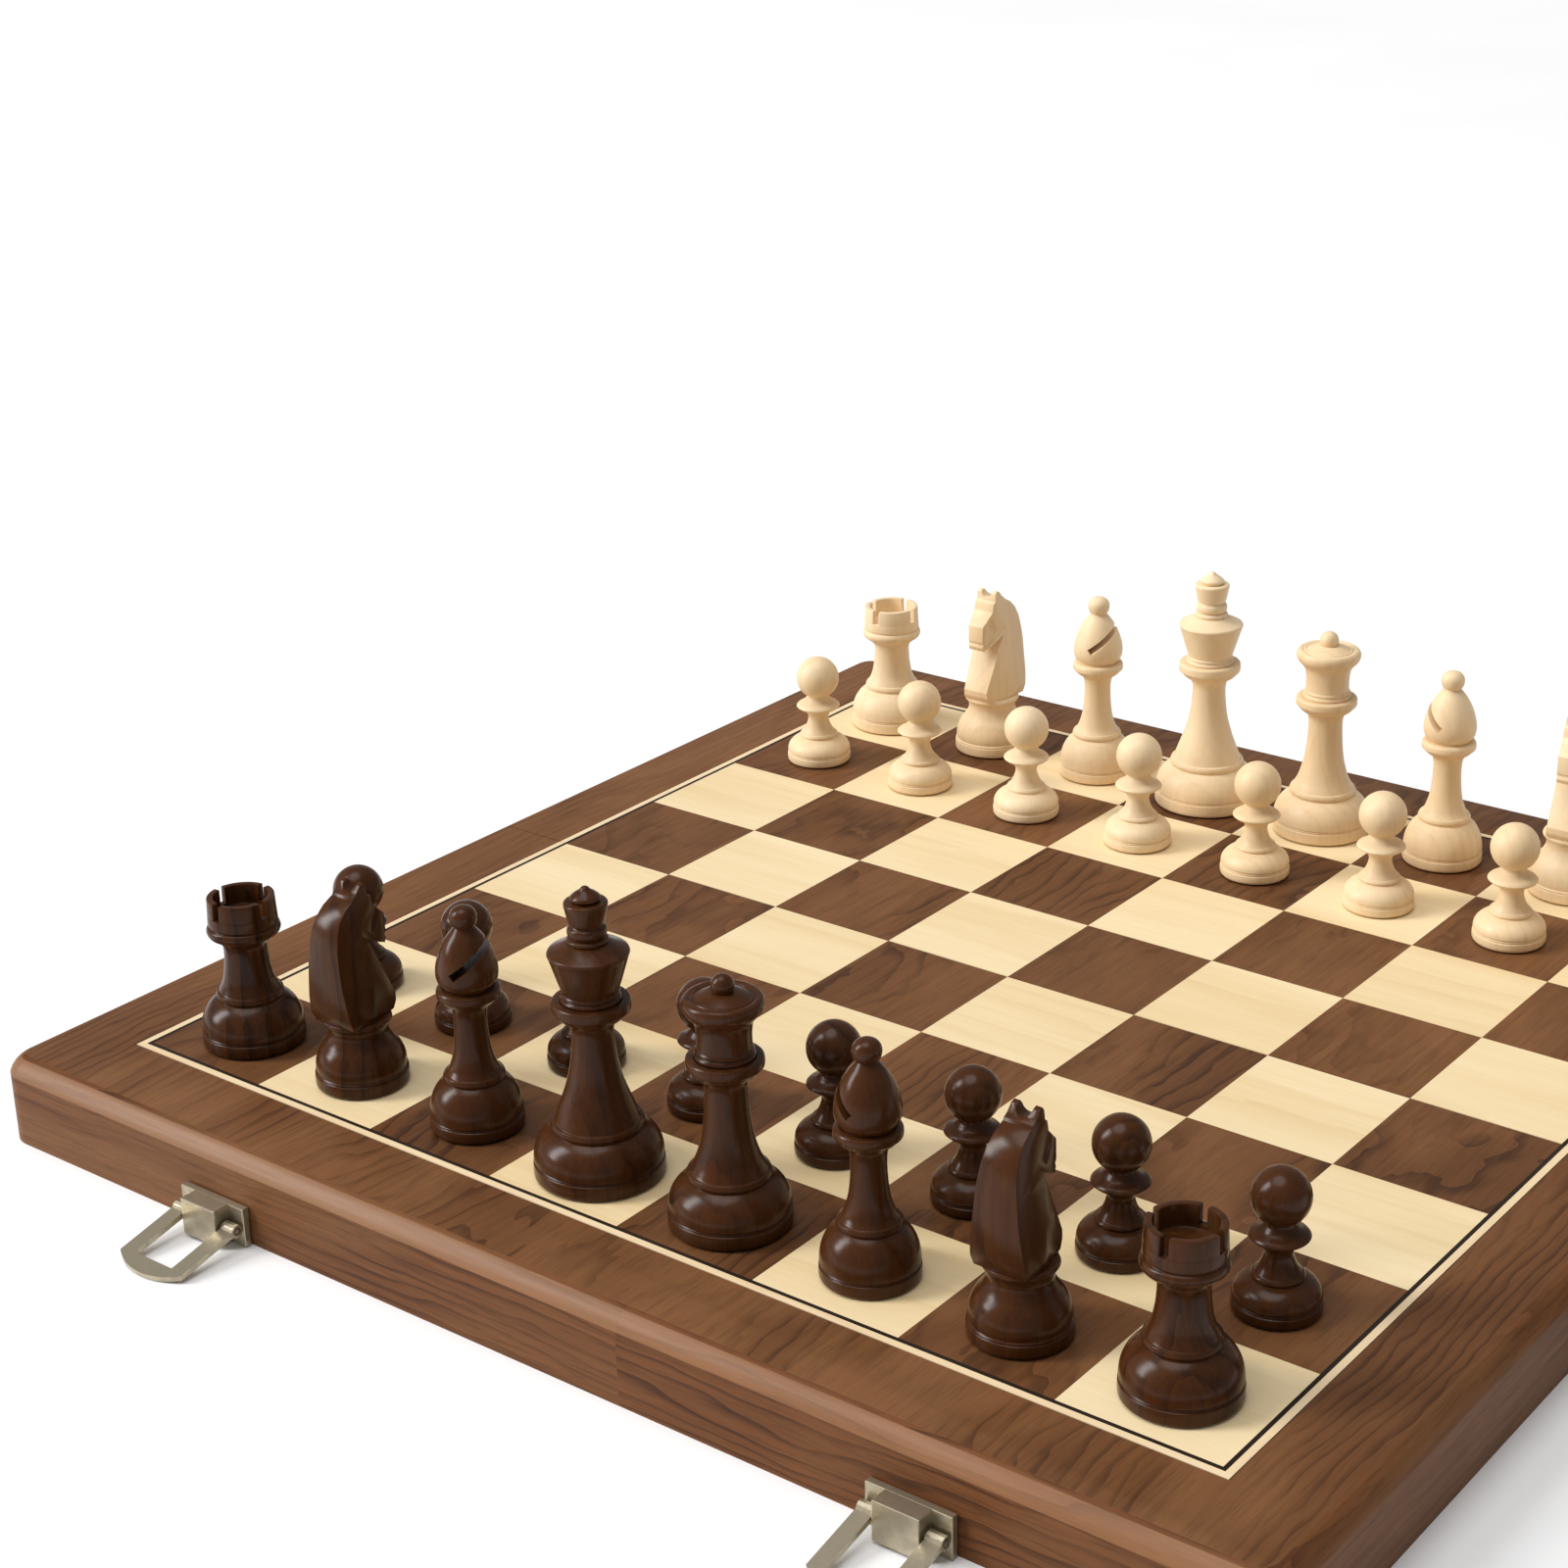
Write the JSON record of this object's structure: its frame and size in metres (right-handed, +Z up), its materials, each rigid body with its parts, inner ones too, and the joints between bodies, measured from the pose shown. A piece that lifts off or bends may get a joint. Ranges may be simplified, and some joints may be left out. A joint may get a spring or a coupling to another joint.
{
  "type": "folding chess set with board",
  "caption": "Folding wooden case that opens flat into an inlaid chess board, with turned chessmen set up for play, spare queens and stacked draughtsmen beside it.",
  "frame": {"origin": "bottom centre of the whole set: case, men, latches and the spares beside the case", "axes": "+X right along the latch edge, +Y from the dark men to the light men, +Z up"},
  "size_m": [0.4256, 0.4086, 0.0988],
  "materials": {
    "walnut_case": "satin walnut, open straight grain",
    "playing_veneer": "satin walnut and maple squares with inlaid lines",
    "flock_tray": "black flocking on moulded pockets",
    "latch_metal": "satin champagne nickel plate",
    "hinge_metal": "satin brass",
    "dark_wood": "dark stained wood under satin lacquer",
    "light_wood": "natural boxwood under satin lacquer",
    "base_felt": "green felt"
  },
  "bodies": {
    "front_half": {"front_frame": "walnut_case", "front_playing_panel": "playing_veneer", "front_tray": "flock_tray", "hinge_left_front_leaf": "hinge_metal", "hinge_left_pin": "hinge_metal", "hinge_right_front_leaf": "hinge_metal", "hinge_right_pin": "hinge_metal", "latch_left_base": "latch_metal", "latch_left_pin": "latch_metal", "latch_right_base": "latch_metal", "latch_right_pin": "latch_metal"},
    "rear_half": {"rear_frame": "walnut_case", "rear_playing_panel": "playing_veneer", "rear_tray": "flock_tray", "hinge_left_rear_leaf": "hinge_metal", "hinge_right_rear_leaf": "hinge_metal", "latch_left_catch": "latch_metal", "latch_right_catch": "latch_metal"},
    "bail_left": {"latch_left_bail": "latch_metal"},
    "bail_right": {"latch_right_bail": "latch_metal"},
    "dark_rook_left_man": {"dark_rook_left": "dark_wood"},
    "dark_knight_left_man": {"dark_knight_left": "dark_wood"},
    "dark_bishop_left_man": {"dark_bishop_left": "dark_wood"},
    "dark_king_man": {"dark_king": "dark_wood"},
    "dark_queen_man": {"dark_queen": "dark_wood"},
    "dark_bishop_right_man": {"dark_bishop_right": "dark_wood"},
    "dark_knight_right_man": {"dark_knight_right": "dark_wood"},
    "dark_rook_right_man": {"dark_rook_right": "dark_wood"},
    "light_rook_left_man": {"light_rook_left": "light_wood"},
    "light_knight_left_man": {"light_knight_left": "light_wood"},
    "light_bishop_left_man": {"light_bishop_left": "light_wood"},
    "light_king_man": {"light_king": "light_wood"},
    "light_queen_man": {"light_queen": "light_wood"},
    "light_bishop_right_man": {"light_bishop_right": "light_wood"},
    "light_knight_right_man": {"light_knight_right": "light_wood"},
    "light_rook_right_man": {"light_rook_right": "light_wood"},
    "dark_pawn_1_man": {"dark_pawn_1": "dark_wood"},
    "dark_pawn_2_man": {"dark_pawn_2": "dark_wood"},
    "dark_pawn_3_man": {"dark_pawn_3": "dark_wood"},
    "dark_pawn_4_man": {"dark_pawn_4": "dark_wood"},
    "dark_pawn_5_man": {"dark_pawn_5": "dark_wood"},
    "dark_pawn_6_man": {"dark_pawn_6": "dark_wood"},
    "dark_pawn_7_man": {"dark_pawn_7": "dark_wood"},
    "dark_pawn_8_man": {"dark_pawn_8": "dark_wood"},
    "light_pawn_1_man": {"light_pawn_1": "light_wood"},
    "light_pawn_2_man": {"light_pawn_2": "light_wood"},
    "light_pawn_3_man": {"light_pawn_3": "light_wood"},
    "light_pawn_4_man": {"light_pawn_4": "light_wood"},
    "light_pawn_5_man": {"light_pawn_5": "light_wood"},
    "light_pawn_6_man": {"light_pawn_6": "light_wood"},
    "light_pawn_7_man": {"light_pawn_7": "light_wood"},
    "light_pawn_8_man": {"light_pawn_8": "light_wood"},
    "dark_checker_stack_1_pile": {"dark_checker_stack_1": "dark_wood"},
    "dark_checker_stack_2_pile": {"dark_checker_stack_2": "dark_wood"},
    "light_checker_stack_1_pile": {"light_checker_stack_1": "light_wood"},
    "light_checker_stack_2_pile": {"light_checker_stack_2": "light_wood"},
    "spare_dark_queen_man": {"spare_dark_queen": "dark_wood"},
    "spare_light_queen_man": {"spare_light_queen": "light_wood"}
  },
  "joints": [
    {"name": "bail_left_swing", "type": "hinge", "parent": "front_half", "child": "bail_left", "pos_m": [-0.12905, -0.18238, 0.00675], "axis": [1, 0, 0], "range_deg": [-102, 77.5]},
    {"name": "bail_right_swing", "type": "hinge", "parent": "front_half", "child": "bail_right", "pos_m": [0.08055, -0.18238, 0.00675], "axis": [1, 0, 0], "range_deg": [-102, 77.5]},
    {"name": "board_fold", "type": "hinge", "parent": "front_half", "child": "rear_half", "pos_m": [-0.02425, 0.01032, 0.0011], "axis": [-1, 0, 0], "range_deg": [0, 180]},
    {"name": "lift_dark_rook_left", "type": "slide", "parent": "front_half", "child": "dark_rook_left_man", "axis": [0, 0, 1], "range_m": [0, 0.08]},
    {"name": "lift_dark_knight_left", "type": "slide", "parent": "front_half", "child": "dark_knight_left_man", "axis": [0, 0, 1], "range_m": [0, 0.08]},
    {"name": "lift_dark_bishop_left", "type": "slide", "parent": "front_half", "child": "dark_bishop_left_man", "axis": [0, 0, 1], "range_m": [0, 0.08]},
    {"name": "lift_dark_king", "type": "slide", "parent": "front_half", "child": "dark_king_man", "axis": [0, 0, 1], "range_m": [0, 0.08]},
    {"name": "lift_dark_queen", "type": "slide", "parent": "front_half", "child": "dark_queen_man", "axis": [0, 0, 1], "range_m": [0, 0.08]},
    {"name": "lift_dark_bishop_right", "type": "slide", "parent": "front_half", "child": "dark_bishop_right_man", "axis": [0, 0, 1], "range_m": [0, 0.08]},
    {"name": "lift_dark_knight_right", "type": "slide", "parent": "front_half", "child": "dark_knight_right_man", "axis": [0, 0, 1], "range_m": [0, 0.08]},
    {"name": "lift_dark_rook_right", "type": "slide", "parent": "front_half", "child": "dark_rook_right_man", "axis": [0, 0, 1], "range_m": [0, 0.08]},
    {"name": "lift_light_rook_left", "type": "slide", "parent": "rear_half", "child": "light_rook_left_man", "axis": [0, 0, 1], "range_m": [0, 0.08]},
    {"name": "lift_light_knight_left", "type": "slide", "parent": "rear_half", "child": "light_knight_left_man", "axis": [0, 0, 1], "range_m": [0, 0.08]},
    {"name": "lift_light_bishop_left", "type": "slide", "parent": "rear_half", "child": "light_bishop_left_man", "axis": [0, 0, 1], "range_m": [0, 0.08]},
    {"name": "lift_light_king", "type": "slide", "parent": "rear_half", "child": "light_king_man", "axis": [0, 0, 1], "range_m": [0, 0.08]},
    {"name": "lift_light_queen", "type": "slide", "parent": "rear_half", "child": "light_queen_man", "axis": [0, 0, 1], "range_m": [0, 0.08]},
    {"name": "lift_light_bishop_right", "type": "slide", "parent": "rear_half", "child": "light_bishop_right_man", "axis": [0, 0, 1], "range_m": [0, 0.08]},
    {"name": "lift_light_knight_right", "type": "slide", "parent": "rear_half", "child": "light_knight_right_man", "axis": [0, 0, 1], "range_m": [0, 0.08]},
    {"name": "lift_light_rook_right", "type": "slide", "parent": "rear_half", "child": "light_rook_right_man", "axis": [0, 0, 1], "range_m": [0, 0.08]},
    {"name": "lift_dark_pawn_1", "type": "slide", "parent": "front_half", "child": "dark_pawn_1_man", "axis": [0, 0, 1], "range_m": [0, 0.08]},
    {"name": "lift_dark_pawn_2", "type": "slide", "parent": "front_half", "child": "dark_pawn_2_man", "axis": [0, 0, 1], "range_m": [0, 0.08]},
    {"name": "lift_dark_pawn_3", "type": "slide", "parent": "front_half", "child": "dark_pawn_3_man", "axis": [0, 0, 1], "range_m": [0, 0.08]},
    {"name": "lift_dark_pawn_4", "type": "slide", "parent": "front_half", "child": "dark_pawn_4_man", "axis": [0, 0, 1], "range_m": [0, 0.08]},
    {"name": "lift_dark_pawn_5", "type": "slide", "parent": "front_half", "child": "dark_pawn_5_man", "axis": [0, 0, 1], "range_m": [0, 0.08]},
    {"name": "lift_dark_pawn_6", "type": "slide", "parent": "front_half", "child": "dark_pawn_6_man", "axis": [0, 0, 1], "range_m": [0, 0.08]},
    {"name": "lift_dark_pawn_7", "type": "slide", "parent": "front_half", "child": "dark_pawn_7_man", "axis": [0, 0, 1], "range_m": [0, 0.08]},
    {"name": "lift_dark_pawn_8", "type": "slide", "parent": "front_half", "child": "dark_pawn_8_man", "axis": [0, 0, 1], "range_m": [0, 0.08]},
    {"name": "lift_light_pawn_1", "type": "slide", "parent": "rear_half", "child": "light_pawn_1_man", "axis": [0, 0, 1], "range_m": [0, 0.08]},
    {"name": "lift_light_pawn_2", "type": "slide", "parent": "rear_half", "child": "light_pawn_2_man", "axis": [0, 0, 1], "range_m": [0, 0.08]},
    {"name": "lift_light_pawn_3", "type": "slide", "parent": "rear_half", "child": "light_pawn_3_man", "axis": [0, 0, 1], "range_m": [0, 0.08]},
    {"name": "lift_light_pawn_4", "type": "slide", "parent": "rear_half", "child": "light_pawn_4_man", "axis": [0, 0, 1], "range_m": [0, 0.08]},
    {"name": "lift_light_pawn_5", "type": "slide", "parent": "rear_half", "child": "light_pawn_5_man", "axis": [0, 0, 1], "range_m": [0, 0.08]},
    {"name": "lift_light_pawn_6", "type": "slide", "parent": "rear_half", "child": "light_pawn_6_man", "axis": [0, 0, 1], "range_m": [0, 0.08]},
    {"name": "lift_light_pawn_7", "type": "slide", "parent": "rear_half", "child": "light_pawn_7_man", "axis": [0, 0, 1], "range_m": [0, 0.08]},
    {"name": "lift_light_pawn_8", "type": "slide", "parent": "rear_half", "child": "light_pawn_8_man", "axis": [0, 0, 1], "range_m": [0, 0.08]},
    {"name": "lift_dark_checker_stack_1", "type": "slide", "parent": "front_half", "child": "dark_checker_stack_1_pile", "axis": [0, 0, 1], "range_m": [0, 0.1]},
    {"name": "lift_dark_checker_stack_2", "type": "slide", "parent": "front_half", "child": "dark_checker_stack_2_pile", "axis": [0, 0, 1], "range_m": [0, 0.1]},
    {"name": "lift_light_checker_stack_1", "type": "slide", "parent": "front_half", "child": "light_checker_stack_1_pile", "axis": [0, 0, 1], "range_m": [0, 0.1]},
    {"name": "lift_light_checker_stack_2", "type": "slide", "parent": "front_half", "child": "light_checker_stack_2_pile", "axis": [0, 0, 1], "range_m": [0, 0.1]},
    {"name": "lift_spare_dark_queen", "type": "slide", "parent": "front_half", "child": "spare_dark_queen_man", "axis": [0, 0, 1], "range_m": [0, 0.1]},
    {"name": "lift_spare_light_queen", "type": "slide", "parent": "front_half", "child": "spare_light_queen_man", "axis": [0, 0, 1], "range_m": [0, 0.1]}
  ]
}
